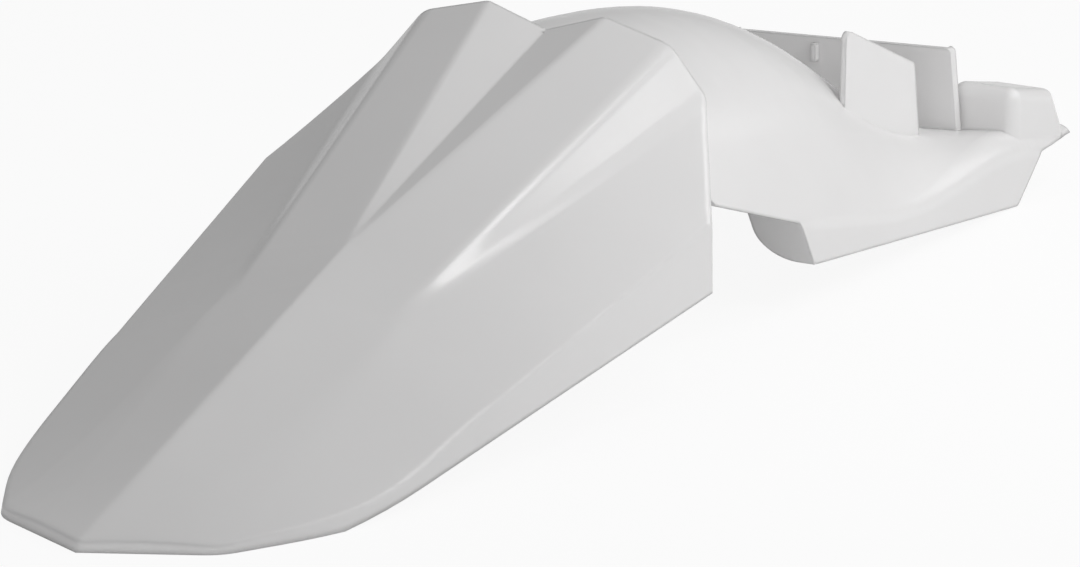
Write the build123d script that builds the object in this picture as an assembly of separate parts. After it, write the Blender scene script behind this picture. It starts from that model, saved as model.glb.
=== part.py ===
"""Rear fender of an off-road motorcycle, moulded as one plastic shell.

X runs forward, Y to the rider's left and Z up, in millimetres. While it is built, x is
measured from the end of the tail and z from the surface the fender lies on. The finished
shell is then moved so that the origin is under the middle of its bounding box.
"""
from build123d import *
from collections import namedtuple
from math import atan2, cos, degrees, dist, hypot, radians, sin, tan
import os

# Shell
wall = 3.0                  # thickness of the moulded skin

# Outline of the tail, seen from above at the level of its rim
tip_corner_x = 28.0         # first corner of the tail's end
tip_corner_y = 56.5
tail_corner_x = 91.0        # where the end turns into the flank
tail_corner_y = 91.0
tail_flare = 8.5            # degrees that each flank opens towards the front
flank_draft = 9.7           # degrees that the rim and the flanks lean inwards
tip_round = 26.0            # plan radii of the corners
tail_corner_round = 240.0

# Roof of the tail: heights and half widths of its crease lines
tip_z = 4.5                 # middle of the tail's end
apex_x = 234.0              # the centre ridge splits in two here
apex_z = 84.0
step_x = 418.0              # front edge of the tail
groove_z = 143.5            # bottom of the groove at the step
ridge_y = 31.0              # one of the two ridges at the step
ridge_z = 153.5
ridge_start_y = 2.5         # half the distance of the two ridges at the apex
shoulder_y = 66.0           # upper crease of the shoulder band at the step
shoulder_z = 144.5
band_x = 200.0              # the shoulder band begins here
band_start = 5.0            # its width where it begins
valley_start_y = 45.4       # lower crease of the band where it begins
valley_start_z = 60.1
valley_y = 85.0             # the same crease at the step
valley_z = 122.0
bend_tip_y = 42.0           # behind the band it is a soft bend that flattens to the tail's end
bend_soft = 16.0            # length of the bend's rounding there
eave_tip_y = 81.0           # outer edge of the roof, at the tail's end
eave_tip_z = -6.3
eave_corner_y = 90.3        # at the tail corner
eave_corner_z = 5.5
eave_step_y = 123.6         # at the step
eave_step_z = 95.2
rake = 59.0                 # degrees between the step and the raked side edges, in plan
crease_soft = 1.0           # length of a crease's rounding where the band begins
ridge_soft = 2.2            # the same on the ridges
shoulder_soft = 5.0         # and at the step, on the shoulder band
valley_soft = 5.0
rake_round = 3.8            # radius of the raked side edges
flank_edge_x = 86.0         # the lower edge of the flank leaves the rim's level here
flank_edge_slope = 10.1     # degrees that it climbs

# Wheel arch and tray in front of the step: x from the step, heights of the crown and the fold
arch_half_width = 97.0
arch_fullness = 1.5         # 1 is two straight sides up to a ridge, 2 is a single round arc
fold_round = 13.0           # between the arch or the tray and the upright skirts
Station = namedtuple("Station", "x crown fold")
arch_stations = (
    Station(x=20.0, crown=142.0, fold=54.0),
    Station(x=79.0, crown=136.0, fold=44.0),
    Station(x=130.0, crown=125.0, fold=34.0),
    Station(x=178.0, crown=104.5, fold=26.0),
    Station(x=234.0, crown=69.0, fold=28.0),
    Station(x=299.0, crown=33.0, fold=38.0),
    Station(x=373.0, crown=22.0, fold=26.0),
)
arch_rear_crown = 140.0     # heights at the rear end of the arch's sides, under the tail
arch_rear_fold = 63.0
tray_corner_round = 10.0    # plan radius of the tray's front corners

# Lower edge of the arch and its side skirts, x from the step
notch_x = -8.0              # the lip drops from here to its rear corner
notch_z = 80.5
lip_x = 1.0                 # rear corner of the free lip
lip_z = 70.0
skirt_rear_x = 73.5         # top of the skirt's rear wall
skirt_rear_z = 45.5
skirt_rear_lean = 14.5      # the wall's foot stands this far in front of its top
skirt_foot_z = 22.0
skirt_wall_width = 28.0     # rear wall, from the skirt inwards
skirt_wall_round = 19.0     # its rounded inner corner
skirt_front_x = 305.0       # the skirt touches the ground here
skirt_nose_x = 331.0        # the skirt's front edge meets the tray's edge here
skirt_nose_z = 22.0
skirt_corner_round = 5.0    # corners of the skirt, seen from the side
tray_lip = 4.0              # depth of the tray's turned-down edge in front of the skirt

# Bulkhead across the tray, x from the step
bulkhead_x = 299.0
bulkhead_right_z = 76.5     # top edge at its right end
bulkhead_left_z = 71.0      # and at its left end
bulkhead_top_half_width = 61.0
bulkhead_foot_half_width = 68.5
bulkhead_depth = 6.0        # of the edges that turn forward at its two ends
bulkhead_round = 3.0
rib_y = 13.0                # short ribs on its rear face
rib_height = 9.0
rib_depth = 4.0

# Upright plate on the right side of the arch, x from the step
plate_y = -65.0
plate_rear_x = 174.0
plate_top_x = 177.0         # its rear edge leans forward to here
plate_top_z = 113.5
plate_front_top_x = 250.0
plate_front_top_z = 81.0
plate_front_x = 263.0
plate_round = 4.0

# Bosses on the tray, x from the step
boss_rear_x = 308.0
boss_length = 57.0          # along its foot
boss_top_length = 44.0
boss_margin = 4.0           # from the tray's edge to the boss
boss_width = 36.0
boss_top_z = 58.5           # at the upright rear face
boss_foot_z = 34.5
boss_top_slope = 13.0       # degrees that its top falls to the front
boss_foot_slope = 8.0       # degrees that the tray falls beside it
boss_round = 6.0

# Bolt pads on the arch, just in front of the step
bolt_x = 17.0               # from the step
bolt_y = 31.0
bolt_hole = 6.6             # clearance for M6
pad_diameter = 20.0
pad_z = 140.0

# Reach of the construction solids
below = -0.4 * ridge_z                      # lowest point
above = 1.4 * ridge_z                       # highest point
past = 10 * wall                            # how far they run past the faces that trim them
reach = 1.6 * max(eave_step_y, arch_half_width)     # half width
steep = sin(radians(2 * flank_draft))       # a wall's normal rises less than this
straight_ahead = 0.99                       # the step's normal points forward by more than this
same_place = 0.1                            # corners and edges this near are one and the same
most_rounding = 0.45                        # share of a straight run that a rounding may take up


def along(x, *knots):
    """Height or width on a line of straight runs through (x, value) knots."""
    run = next((i for i in range(1, len(knots) - 1) if x <= knots[i][0]), len(knots) - 1)
    (x0, v0), (x1, v1) = knots[run - 1], knots[run]
    return v0 + (v1 - v0) * (x - x0) / (x1 - x0)


def towards(start, end, distance):
    """The point at a distance from start on the way to end."""
    share = distance / dist(start, end)
    return (start[0] + (end[0] - start[0]) * share, start[1] + (end[1] - start[1]) * share)


def inset_corners(corners, distance):
    """Corners of the same half section, moved inside the skin by a distance."""
    runs = []
    for (y0, z0), (y1, z1) in zip(corners, corners[1:]):
        length = hypot(y1 - y0, z1 - z0)
        normal = ((z1 - z0) / length, -(y1 - y0) / length)
        runs.append((y0 + normal[0] * distance, z0 + normal[1] * distance, y1 - y0, z1 - z0))
    y, z, dy, dz = runs[0]
    moved = [(0.0, z - y * dz / dy)]
    for (ya, za, dya, dza), (yb, zb, dyb, dzb) in zip(runs, runs[1:]):
        cross = dya * dzb - dza * dyb
        if abs(cross) < 1e-6 * hypot(dya, dza) * hypot(dyb, dzb):
            moved.append((yb, zb))
            continue
        t = ((yb - ya) * dzb - (zb - za) * dyb) / cross
        moved.append((ya + dya * t, za + dza * t))
    y, z, dy, dz = runs[-1]
    moved.append((y + dy, z + dz))
    return moved


def section_face(x, half, softs):
    """Closed section at x: a half section of soft corners, mirrored, and a flat bottom."""
    corners = [(y, z) for y, z in reversed(half)] + [(-y, z) for y, z in half[1:]]
    roundings = list(reversed(softs)) + list(softs[1:])
    edges = []
    last = corners[0]
    for before, corner, after, rounding in zip(corners, corners[1:], corners[2:], roundings[1:-1]):
        start = end = corner
        if rounding:
            rounding = min(rounding, most_rounding * min(dist(corner, before), dist(corner, after)))
            start = towards(corner, before, rounding)
            end = towards(corner, after, rounding)
        edges.append(Line((x, *last), (x, *start)))
        if rounding:
            edges.append(Bezier((x, *start), (x, *corner), (x, *end)))
        last = end
    edges.append(Line((x, *last), (x, *corners[-1])))
    edges.append(Polyline((x, *corners[-1]), (x, corners[-1][0], below), (x, corners[0][0], below),
                          (x, *corners[0])))
    return make_face(edges)


def centre_z(x):
    """Height of the roof's middle line."""
    return along(x, (0.0, tip_z), (apex_x, apex_z), (step_x, groove_z))


def eave(x):
    """Outer edge of the roof."""
    return (along(x, (0.0, eave_tip_y), (tail_corner_x, eave_corner_y), (step_x, eave_step_y)),
            along(x, (0.0, eave_tip_z), (tail_corner_x, eave_corner_z), (step_x, eave_step_z)))


def flat_side_z(x, y):
    """Height at y of a straight line from the roof's middle to its eave."""
    eave_y, eave_z = eave(x)
    return centre_z(x) + (eave_z - centre_z(x)) * y / eave_y


def valley(x):
    """Lower crease of the shoulder band; behind the band, the bend that it grows out of."""
    if x > band_x:
        return (along(x, (band_x, valley_start_y), (step_x, valley_y)),
                along(x, (band_x, valley_start_z), (step_x, valley_z)))
    y = along(x, (0.0, bend_tip_y), (band_x, valley_start_y))
    bulge = valley_start_z - flat_side_z(band_x, valley_start_y)
    return (y, flat_side_z(x, y) + along(x, (0.0, 0.0), (band_x, bulge)))


def shoulder(x):
    """Upper crease of the shoulder band."""
    if x <= band_x:
        return towards(valley(x), (0.0, centre_z(x)), band_start)
    start = shoulder(band_x)
    return (along(x, (band_x, start[0]), (step_x, shoulder_y)),
            along(x, (band_x, start[1]), (step_x, shoulder_z)))


def ridge(x):
    """One of the two ridges beside the groove."""
    if x <= apex_x:
        return towards((0.0, centre_z(x)), shoulder(x), ridge_start_y)
    start = ridge(apex_x)
    return (along(x, (apex_x, start[0]), (step_x, ridge_y)),
            along(x, (apex_x, start[1]), (step_x, ridge_z)))


def rear_section(x, inset):
    """Section of the roof behind the band and the apex: two sides with a soft bend in each."""
    half = [(0.0, centre_z(x)), valley(x), towards(eave(x), valley(x), -past)]
    soft = along(x, (0.0, bend_soft), (band_x, crease_soft))
    return section_face(x, inset_corners(half, inset), [0.0, soft, 0.0])


def front_section(x, inset):
    """Section of the roof in front of them: groove, ridges, shoulder bands and sides."""
    half = [(0.0, centre_z(x)), ridge(x), shoulder(x), valley(x), towards(eave(x), valley(x), -past)]
    shoulder_round = along(x, (band_x, crease_soft), (step_x, shoulder_soft))
    valley_round = along(x, (band_x, crease_soft), (step_x, valley_soft))
    softs = [0.0, ridge_soft, shoulder_round, valley_round, 0.0]
    return section_face(x, inset_corners(half, inset), softs)


def roof_solid(inset):
    """Everything under the roof's skin, from behind the tail's end to the step."""
    split_x = min(band_x, apex_x)
    rear_count = 4
    rear_stations = [-past / 3] + [split_x * (i + 1) / rear_count for i in range(rear_count)]
    front_stations = [split_x, max(band_x, apex_x), step_x - inset]
    rear = loft([rear_section(x, inset) for x in rear_stations])
    front = loft([front_section(x, inset) for x in front_stations], ruled=True)
    return rear + front


def tail_plan(inset):
    """Block inside the rim and the flanks, leaning inwards as it rises."""
    side_x = step_x + past
    side_y = tail_corner_y + (side_x - tail_corner_x) * tan(radians(tail_flare))
    half = [(0.0, 0.0), (tip_corner_x, tip_corner_y), (tail_corner_x, tail_corner_y), (side_x, side_y)]
    plan = make_face(Polyline(*half, *[(x, -y) for x, y in reversed(half[1:])], close=True))
    for (x, y), radius in ((half[1], tip_round), (half[2], tail_corner_round)):
        plan = fillet([v for v in plan.vertices() if dist((v.X, abs(v.Y)), (x, y)) < same_place], radius)
    base = -past / 3
    plan = offset(plan, amount=-inset - base * tan(radians(flank_draft)))
    return extrude(Pos(0, 0, base) * plan, amount=above - base, taper=flank_draft)


def tail_front(inset):
    """Block behind the step and its raked side edges."""
    rake_x = step_x - (reach - valley_y) * tan(radians(rake))
    half = [(step_x, valley_y), (rake_x, reach), (min(rake_x, 0.0) - 2 * past, reach)]
    plan = make_face(Polyline(*half, *[(x, -y) for x, y in reversed(half)], close=True))
    if inset:
        plan = offset(plan, amount=-inset, kind=Kind.INTERSECTION)
    return extrude(Pos(0, 0, below) * plan, amount=above - below)


def raked_edges(block):
    """Edges between the roof and the raked walls that run back from the step."""
    upright = [f for f in block.faces() if abs(f.normal_at().Z) < steep]
    walls = [f for f in upright if steep < f.normal_at().X < straight_ahead]
    roof_edges = ShapeList(e for f in block.faces() if f.normal_at().Z > steep for e in f.edges())
    return [e for f in walls for e in f.edges() if e in roof_edges]


def side_prism(points, round_corners=(), radius=0.0):
    """A side-view outline carried across the whole width, some of its corners rounded."""
    profile = make_face(Polyline(*[(x, reach, z) for x, z in points], close=True))
    for corner in round_corners:
        profile = fillet([v for v in profile.vertices() if dist((v.X, v.Z), corner) < same_place], radius)
    return extrude(profile, amount=2 * reach, dir=(0, -1, 0))


def tail_bottom():
    """What lies below the rim and the lower edges of the flanks."""
    end_x = step_x + past
    end_z = (end_x - flank_edge_x) * tan(radians(flank_edge_slope))
    deep = below - past
    return side_prism([(-past, deep), (-past, 0.0), (flank_edge_x, 0.0), (end_x, end_z), (end_x, deep)])


def arch_section(station, inset):
    """Section of the arch: crown arc and straight sides that run out past the skirts."""
    height = station.crown - station.fold
    angle = arch_fullness * atan2(height, arch_half_width)
    crown_radius = (arch_half_width * tan(angle) - height) / (1 / cos(angle) - 1)
    radius = crown_radius - inset
    side = (radius * sin(angle), station.crown - crown_radius + radius * cos(angle))
    far_y = arch_half_width + past / 3
    far_z = side[1] - (far_y - side[0]) * tan(angle)
    x = step_x + station.x
    edges = [ThreePointArc((x, *side), (x, 0, station.crown - inset), (x, -side[0], side[1]))]
    for sign in (1, -1):
        edges.append(Line((x, sign * side[0], side[1]), (x, sign * far_y, far_z)))
        edges.append(Line((x, sign * far_y, far_z), (x, sign * far_y, below)))
    edges.append(Line((x, far_y, below), (x, -far_y, below)))
    return make_face(edges)


def arch_rear_x():
    """Rear end of the arch's sides from the step: they run back past the raked edges."""
    return -max(0.0, arch_half_width - valley_y) * tan(radians(rake)) - past / 2


def arch_solid(inset):
    """Everything under the arch and the tray, between upright skirts with a rounded fold."""
    rear = Station(arch_rear_x(), arch_rear_crown, arch_rear_fold)
    half_width = arch_half_width - inset
    rear_x, front_x = step_x + rear.x - past, step_x + arch_stations[-1].x
    corners = [(rear_x, half_width), (front_x, half_width), (front_x, -half_width), (rear_x, -half_width)]
    plan = make_face(Polyline(*corners, close=True))
    between = extrude(Pos(0, 0, below) * plan, amount=above - below)
    solid = loft([arch_section(station, inset) for station in (rear, *arch_stations)]) & between
    folds = [e for e in solid.edges().filter_by_position(Axis.Z, below + 1, above)
             if abs(abs(e.center().Y) - half_width) < same_place and e.bounding_box().size.X > past]
    solid = fillet(folds, fold_round - inset)
    if inset:
        return solid
    plan = fillet([v for v in plan.vertices() if abs(v.X - front_x) < same_place], tray_corner_round)
    return solid & extrude(Pos(0, 0, below) * plan, amount=above - below)


def arch_bottom():
    """What lies below the lip of the arch, the skirts and the tray's front edge."""
    front = arch_stations[-1]
    deep = below - past
    rear_x = arch_rear_x() - past
    outline = [(rear_x, deep), (rear_x, notch_z), (notch_x, notch_z), (lip_x, lip_z),
               (skirt_rear_x, skirt_rear_z), (skirt_rear_x + skirt_rear_lean, skirt_foot_z),
               (skirt_front_x, 0.0), (skirt_nose_x, skirt_nose_z),
               (front.x, front.fold - tray_lip), (front.x + past, front.fold - tray_lip),
               (front.x + past, deep)]
    round_corners = outline[5:8]
    return side_prism([(step_x + x, z) for x, z in outline],
                      [(step_x + x, z) for x, z in round_corners], skirt_corner_round)


def skirt_rear_wall(sign):
    """Leaning wall that closes the rear of a side skirt, with a round inner corner."""
    top_x = step_x + skirt_rear_x
    outer_y = arch_half_width
    inner_y = outer_y - skirt_wall_width
    lean = atan2(skirt_rear_lean, skirt_rear_z - skirt_foot_z)
    foot_z = skirt_rear_z - hypot(skirt_rear_lean, skirt_rear_z - skirt_foot_z)
    top_z = skirt_rear_z + 2 * past
    corners = [(inner_y, top_z), (inner_y, foot_z), (outer_y, foot_z), (outer_y, top_z)]
    face = make_face(Polyline(*[(top_x, sign * y, z) for y, z in corners], close=True))
    inner = [v for v in face.vertices() if abs(v.Y) < outer_y - 1 and v.Z < skirt_rear_z]
    face = fillet(inner, skirt_wall_round)
    upright = extrude(face, amount=wall, dir=(1, 0, 0))
    turn = Pos(top_x, 0, skirt_rear_z) * Rot(0, -degrees(lean), 0)
    return turn * Pos(-top_x, 0, -skirt_rear_z) * upright


def bulkhead_face(inset, top_rise):
    """Outline of the bulkhead, narrowed by an inset and with its top moved up."""
    top, foot = bulkhead_top_half_width - inset, bulkhead_foot_half_width - inset
    right_z, left_z = bulkhead_right_z + top_rise, bulkhead_left_z + top_rise
    corners = [(-foot, 0.0), (-top, right_z), (top, left_z), (foot, 0.0)]
    return make_face(Polyline(*[(step_x + bulkhead_x, y, z) for y, z in corners], close=True))


def bulkhead():
    """Upright wall across the tray: its ends turn forward, and two short ribs stand behind it."""
    face = bulkhead_face(0.0, 0.0)
    face = fillet([v for v in face.vertices() if v.Z > bulkhead_left_z / 2], bulkhead_round)
    solid = extrude(face, amount=bulkhead_depth, dir=(1, 0, 0))
    solid -= Pos(wall, 0, 0) * extrude(bulkhead_face(wall, wall), amount=bulkhead_depth, dir=(1, 0, 0))
    rib = Box(rib_depth + wall / 2, wall, rib_height, align=(Align.MAX, Align.CENTER, Align.MAX))
    top = bulkhead_top_half_width
    for sign in (1, -1):
        top_z = along(sign * rib_y, (-top, bulkhead_right_z), (top, bulkhead_left_z))
        solid += Pos(step_x + bulkhead_x + wall / 2, sign * rib_y, top_z - wall) * rib
    return solid


def upright_plate():
    """The plate that stands on the right side of the arch."""
    points = [(plate_rear_x, 0.0), (plate_top_x, plate_top_z),
              (plate_front_top_x, plate_front_top_z), (plate_front_x, 0.0)]
    face = make_face(Polyline(*[(step_x + x, plate_y - wall / 2, z) for x, z in points], close=True))
    face = fillet([v for v in face.vertices() if v.Z > plate_front_top_z / 2], plate_round)
    return extrude(face, amount=wall, dir=(0, 1, 0))


def boss(sign, inset):
    """Raised boss on the tray; with an inset, the hollow under it."""
    outer_y = arch_half_width - boss_margin - inset
    inner_y = arch_half_width - boss_margin - boss_width + inset
    top_front_z = boss_top_z - boss_top_length * tan(radians(boss_top_slope))
    foot_front_z = boss_foot_z - boss_length * tan(radians(boss_foot_slope))
    deep = below / 2
    corners = [(0.0, deep), (0.0, boss_top_z), (boss_top_length, top_front_z),
               (boss_length, foot_front_z), (boss_length, deep)]
    profile = make_face(Polyline(*[(step_x + boss_rear_x + x, 0, z) for x, z in corners], close=True))
    if inset:
        profile = offset(profile, amount=-inset, kind=Kind.INTERSECTION)
    block = Pos(0, sign * outer_y, 0) * extrude(profile, amount=outer_y - inner_y, dir=(0, -sign, 0))
    if inset:
        return block
    return fillet([e for e in block.edges() if e.center().Z > deep + 1], boss_round)


def bolt_pads():
    """Level round pads on the arch."""
    pad = Cylinder(pad_diameter / 2, pad_z, align=(Align.CENTER, Align.CENTER, Align.MIN))
    places = Locations((step_x + bolt_x, bolt_y), (step_x + bolt_x, -bolt_y))
    return [place * pad for place in places]


def bolt_holes():
    """The hollow under each pad and the bolt hole through it."""
    under = Cylinder(pad_diameter / 2 - wall, pad_z - wall, align=(Align.CENTER, Align.CENTER, Align.MIN))
    hole = Cylinder(bolt_hole / 2, pad_z + past, align=(Align.CENTER, Align.CENTER, Align.MIN))
    places = Locations((step_x + bolt_x, bolt_y), (step_x + bolt_x, -bolt_y))
    return [place * (under + hole) for place in places]


def build():
    """The whole shell, in the coordinates of the driving dimensions."""
    behind_step = tail_front(wall)
    tail_block = (roof_solid(0.0) & tail_plan(0.0) & tail_front(0.0)) - tail_bottom()
    tail_skin = fillet(raked_edges(tail_block), rake_round)
    tail_hollow = roof_solid(wall) & tail_plan(wall) & behind_step
    arch_skin = arch_solid(0.0) - behind_step
    arch_hollow = arch_solid(wall) - behind_step
    shell = tail_skin + (arch_skin + [boss(1, 0.0), boss(-1, 0.0)] - arch_bottom())
    shell += [upright_plate(), bulkhead(), *bolt_pads()]
    shell -= [tail_hollow, arch_hollow]
    shell -= [boss(1, wall), boss(-1, wall), *bolt_holes()]
    for sign in (1, -1):
        shell += skirt_rear_wall(sign) & arch_skin
    return shell


if __name__ == "__main__":
    os.makedirs("parts", exist_ok=True)
    fender = build()
    box = fender.bounding_box()
    fender = Pos(-(box.min.X + box.max.X) / 2, 0, -box.min.Z) * fender
    export_step(fender, "parts/rear_fender.step")
    print(len(fender.solids()), "solid", round(fender.volume), "mm3, valid", fender.is_valid,
          "from", box.min, "to", box.max)
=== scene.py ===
"""Dresses the rear fender: finish of the moulded shell, floor, light and camera."""
import bpy
from collections import namedtuple
from math import cos, radians, sin
from mathutils import Matrix, Vector

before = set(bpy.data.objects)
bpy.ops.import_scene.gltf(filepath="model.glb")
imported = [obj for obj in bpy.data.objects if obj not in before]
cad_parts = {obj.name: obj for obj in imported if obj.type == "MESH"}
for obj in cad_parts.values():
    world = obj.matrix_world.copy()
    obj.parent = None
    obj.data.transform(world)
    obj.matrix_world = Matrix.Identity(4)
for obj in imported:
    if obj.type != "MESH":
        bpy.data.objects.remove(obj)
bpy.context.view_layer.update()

# Lengths are in metres, in the fender's frame: X forward, Y to the left, Z up

# Plastic
PLASTIC = (0.806, 0.80, 0.80)
REFRACTION = 1.49

# Whiteness: the noise from which the colour is darkest and lightest, and the shares of it there
DRIFT = {"Scale": 6.0, "Detail": 3.0, "Roughness": 0.5}
DRIFT_RANGE = (0.3, 0.7)
DRIFT_SHARES = (0.975, 1.02)

# Gloss: patches with hard borders showed where the roughness crossed about 0.27, so it stays below
POLISH = {"Scale": 22.0, "Detail": 4.0, "Roughness": 0.6}
POLISH_ROUGHNESS = (0.17, 0.25)

# Rubbing marks: long in X and thin across it, and rougher where the noise is high
MARKS = {"Scale": 1.0, "Detail": 2.0, "Roughness": 0.5}
MARKS_STRETCH = (14.0, 420.0, 420.0)
MARKS_RANGE = (0.62, 0.80)
MARKS_ROUGHNESS = (0.0, 0.02)

# Relief of the faces: a slight waviness and the mould's grain
WAVES = {"Scale": 11.0, "Detail": 1.0}
WAVES_BUMP = {"Strength": 0.10, "Distance": 0.004}
GRAIN = {"Scale": 1500.0, "Detail": 2.0, "Roughness": 0.5}
GRAIN_BUMP = {"Strength": 0.03, "Distance": 0.0002}

# Edges: softened by the shading alone, most at the end of the tail and less towards the split ridge
EDGE_SAMPLES = 6
EDGE_ROUND = 0.0024
TAIL_ROUND = 0.0062
TAIL_END_X = -0.38
RIDGE_SPLIT_X = -0.12

# Floor
FLOOR_SIZE = 24.0
FLOOR_PAINT = (0.78, 0.78, 0.78, 1.0)
FLOOR_GLOW = 0.92           # share of the floor's white that does not depend on the lamps
MIRROR_GLOW = 0.45          # part of that white that reflections see

# Light: the strength of the white surrounding, and lamps with their power in watts
AMBIENT = 0.335
Lamp = namedtuple("Lamp", "name place target size power")
LAMPS = (
    Lamp("right", (1.1, -0.8, 0.7), (0.3, -0.05, 0.08), 0.8, 2.1),
    Lamp("high", (0.9, -0.5, 1.0), (0.2, 0.0, 0.08), 0.6, 2.3),
    Lamp("rear", (-2.2, -1.15, 0.25), (0.0, 0.0, 0.05), 1.2, 15.1),
    Lamp("boss", (0.15, -0.65, 0.6), (0.36, -0.09, 0.1), 0.3, 2.0),
    Lamp("left", (0.1, 1.6, 0.3), (0.1, 0.0, 0.08), 0.9, 1.0),
    # The right shoulder band mirrors this one near its start
    Lamp("glint", (0.19, -0.475, 1.12), (-0.17, -0.044, 0.065), 0.2, 1.2),
)

# Camera of the photograph
VIEW_TURN = 29.05           # degrees from straight behind the tail, towards the right side
VIEW_HEIGHT = 15.65         # degrees above the horizon
VIEW_ROLL = 0.375           # degrees
VIEW_DISTANCE = 4.5
VIEW_TARGET = Vector((0.0214, 0.002, 0.0203))
SENSOR = 36.0               # millimetres
LENS = 319.2                # millimetres
CLIP = (0.05, 60.0)


def node(tree, kind, **values):
    """A shader node with its sockets or settings filled in."""
    made = tree.nodes.new(kind)
    for name, value in values.items():
        if name in made.inputs:
            made.inputs[name].default_value = value
        else:
            setattr(made, name, value)
    return made


def noise(tree, place, settings):
    """A noise that varies with the place."""
    made = node(tree, "ShaderNodeTexNoise", **settings)
    tree.links.new(place, made.inputs["Vector"])
    return made.outputs["Fac"]


def mapped(tree, source, start, end, low, high):
    """A value that goes from low to high while the source goes from start to end."""
    made = node(tree, "ShaderNodeMapRange")
    for name, value in (("From Min", start), ("From Max", end), ("To Min", low), ("To Max", high)):
        made.inputs[name].default_value = value
    tree.links.new(source, made.inputs["Value"])
    return made.outputs["Result"]


def bumped(tree, height, normal, settings):
    """The normal, tilted by the slope of the height."""
    made = node(tree, "ShaderNodeBump", **settings)
    tree.links.new(height, made.inputs["Height"])
    tree.links.new(normal, made.inputs["Normal"])
    return made.outputs["Normal"]


def white_plastic():
    """White moulded plastic: soft edges, a fine grain, uneven gloss and faint rubbing marks."""
    material = bpy.data.materials.new("white_plastic")
    material.use_nodes = True
    tree = material.node_tree
    link = tree.links.new
    shader = tree.nodes["Principled BSDF"]
    shader.inputs["IOR"].default_value = REFRACTION
    place = node(tree, "ShaderNodeTexCoord").outputs["Object"]

    # Slow drift of the whiteness, as pigment settles in a large moulding
    white = node(tree, "ShaderNodeValToRGB")
    for stop, position, share in zip(white.color_ramp.elements, DRIFT_RANGE, DRIFT_SHARES):
        stop.position = position
        stop.color = (*[share * c for c in PLASTIC], 1.0)
    link(noise(tree, place, DRIFT), white.inputs["Fac"])
    link(white.outputs["Color"], shader.inputs["Base Color"])

    # Gloss: patches from the mould's polish, crossed by rubbing marks along the fender
    along_x = node(tree, "ShaderNodeMapping", Scale=MARKS_STRETCH)
    link(place, along_x.inputs["Vector"])
    polish = mapped(tree, noise(tree, place, POLISH), 0.0, 1.0, *POLISH_ROUGHNESS)
    marks = mapped(tree, noise(tree, along_x.outputs["Vector"], MARKS), *MARKS_RANGE, *MARKS_ROUGHNESS)
    roughness = node(tree, "ShaderNodeMath", operation="ADD")
    link(polish, roughness.inputs[0])
    link(marks, roughness.inputs[1])
    link(roughness.outputs["Value"], shader.inputs["Roughness"])

    # Relief: soft edges, then the waves and the grain on them
    axes = node(tree, "ShaderNodeSeparateXYZ")
    link(place, axes.inputs["Vector"])
    radius = mapped(tree, axes.outputs["X"], TAIL_END_X, RIDGE_SPLIT_X, TAIL_ROUND, EDGE_ROUND)
    edges = node(tree, "ShaderNodeBevel", samples=EDGE_SAMPLES)
    link(radius, edges.inputs["Radius"])
    wavy = bumped(tree, noise(tree, place, WAVES), edges.outputs["Normal"], WAVES_BUMP)
    grainy = bumped(tree, noise(tree, place, GRAIN), wavy, GRAIN_BUMP)
    link(grainy, shader.inputs["Normal"])
    return material


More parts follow.
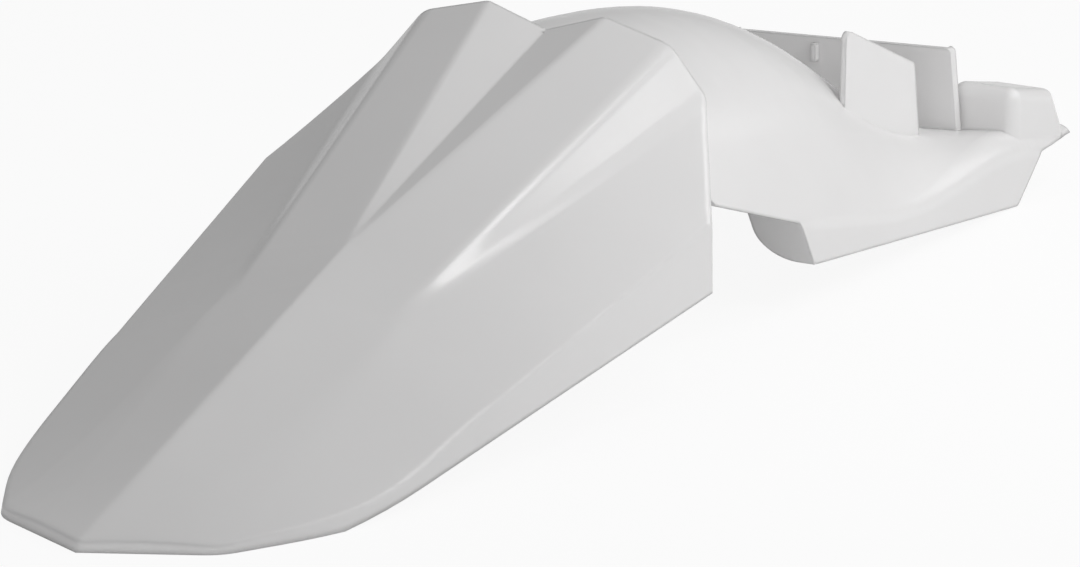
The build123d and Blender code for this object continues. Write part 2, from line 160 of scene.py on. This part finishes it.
def studio_floor():
    """A pale floor that is nearly white where no shadow falls."""
    bpy.ops.mesh.primitive_plane_add(size=FLOOR_SIZE, location=(0.0, 0.0, 0.0))
    floor = bpy.context.object
    floor.name = "floor"
    material = bpy.data.materials.new("floor")
    material.use_nodes = True
    tree = material.node_tree
    link = tree.links.new
    tree.nodes.clear()
    paint = node(tree, "ShaderNodeBsdfDiffuse", Color=FLOOR_PAINT)
    glow = node(tree, "ShaderNodeEmission", Strength=1.0)

    # The camera sees the whole glow, also through a clear thing, and a reflection sees a part of it
    ray = node(tree, "ShaderNodeLightPath")
    seen = node(tree, "ShaderNodeMath", operation="MULTIPLY_ADD")
    link(ray.outputs["Is Glossy Ray"], seen.inputs[0])
    seen.inputs[1].default_value = MIRROR_GLOW
    link(ray.outputs["Is Camera Ray"], seen.inputs[2])
    seen_through = node(tree, "ShaderNodeMath", operation="MAXIMUM")
    link(seen.outputs[0], seen_through.inputs[0])
    link(ray.outputs["Is Transmission Ray"], seen_through.inputs[1])
    share = node(tree, "ShaderNodeMath", operation="MULTIPLY")
    link(seen_through.outputs[0], share.inputs[0])
    share.inputs[1].default_value = FLOOR_GLOW

    mix = node(tree, "ShaderNodeMixShader")
    link(share.outputs[0], mix.inputs[0])
    link(paint.outputs[0], mix.inputs[1])
    link(glow.outputs[0], mix.inputs[2])
    output = node(tree, "ShaderNodeOutputMaterial")
    link(mix.outputs[0], output.inputs["Surface"])
    floor.data.materials.append(material)


def soft_box(lamp):
    """A square area lamp that faces its target."""
    light = bpy.data.lights.new(lamp.name, "AREA")
    light.size = lamp.size
    light.energy = lamp.power
    light_object = bpy.data.objects.new(lamp.name, light)
    bpy.context.scene.collection.objects.link(light_object)
    light_object.location = lamp.place
    ahead = Vector(lamp.target) - Vector(lamp.place)
    light_object.rotation_euler = ahead.to_track_quat("-Z", "Y").to_euler()


def studio_light():
    """Six soft lamps in a plain white surrounding."""
    world = bpy.data.worlds.new("studio")
    bpy.context.scene.world = world
    world.use_nodes = True
    background = world.node_tree.nodes["Background"]
    background.inputs["Color"].default_value = (1.0, 1.0, 1.0, 1.0)
    background.inputs["Strength"].default_value = AMBIENT
    for lamp in LAMPS:
        soft_box(lamp)


def photo_camera():
    """The camera of the photograph."""
    turn, height, roll = radians(VIEW_TURN), radians(VIEW_HEIGHT), radians(VIEW_ROLL)
    back = Vector((-cos(turn) * cos(height), -sin(turn) * cos(height), sin(height)))
    level = Vector((sin(turn), -cos(turn), 0.0))
    upright = back.cross(level)
    right = cos(roll) * level + sin(roll) * upright
    up = back.cross(right)
    camera = bpy.data.cameras.new("camera")
    camera.sensor_fit = "HORIZONTAL"
    camera.sensor_width = SENSOR
    camera.lens = LENS
    camera.clip_start, camera.clip_end = CLIP
    camera_object = bpy.data.objects.new("camera", camera)
    bpy.context.scene.collection.objects.link(camera_object)
    axes = Matrix((right, up, back)).transposed().to_4x4()
    camera_object.matrix_world = Matrix.Translation(VIEW_TARGET + VIEW_DISTANCE * back) @ axes
    bpy.context.scene.camera = camera_object


def main():
    """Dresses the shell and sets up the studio."""
    bpy.context.scene.view_settings.view_transform = "Standard"
    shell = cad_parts["rear_fender"]
    shell.data.materials.clear()
    shell.data.materials.append(white_plastic())
    studio_floor()
    studio_light()
    photo_camera()


main()
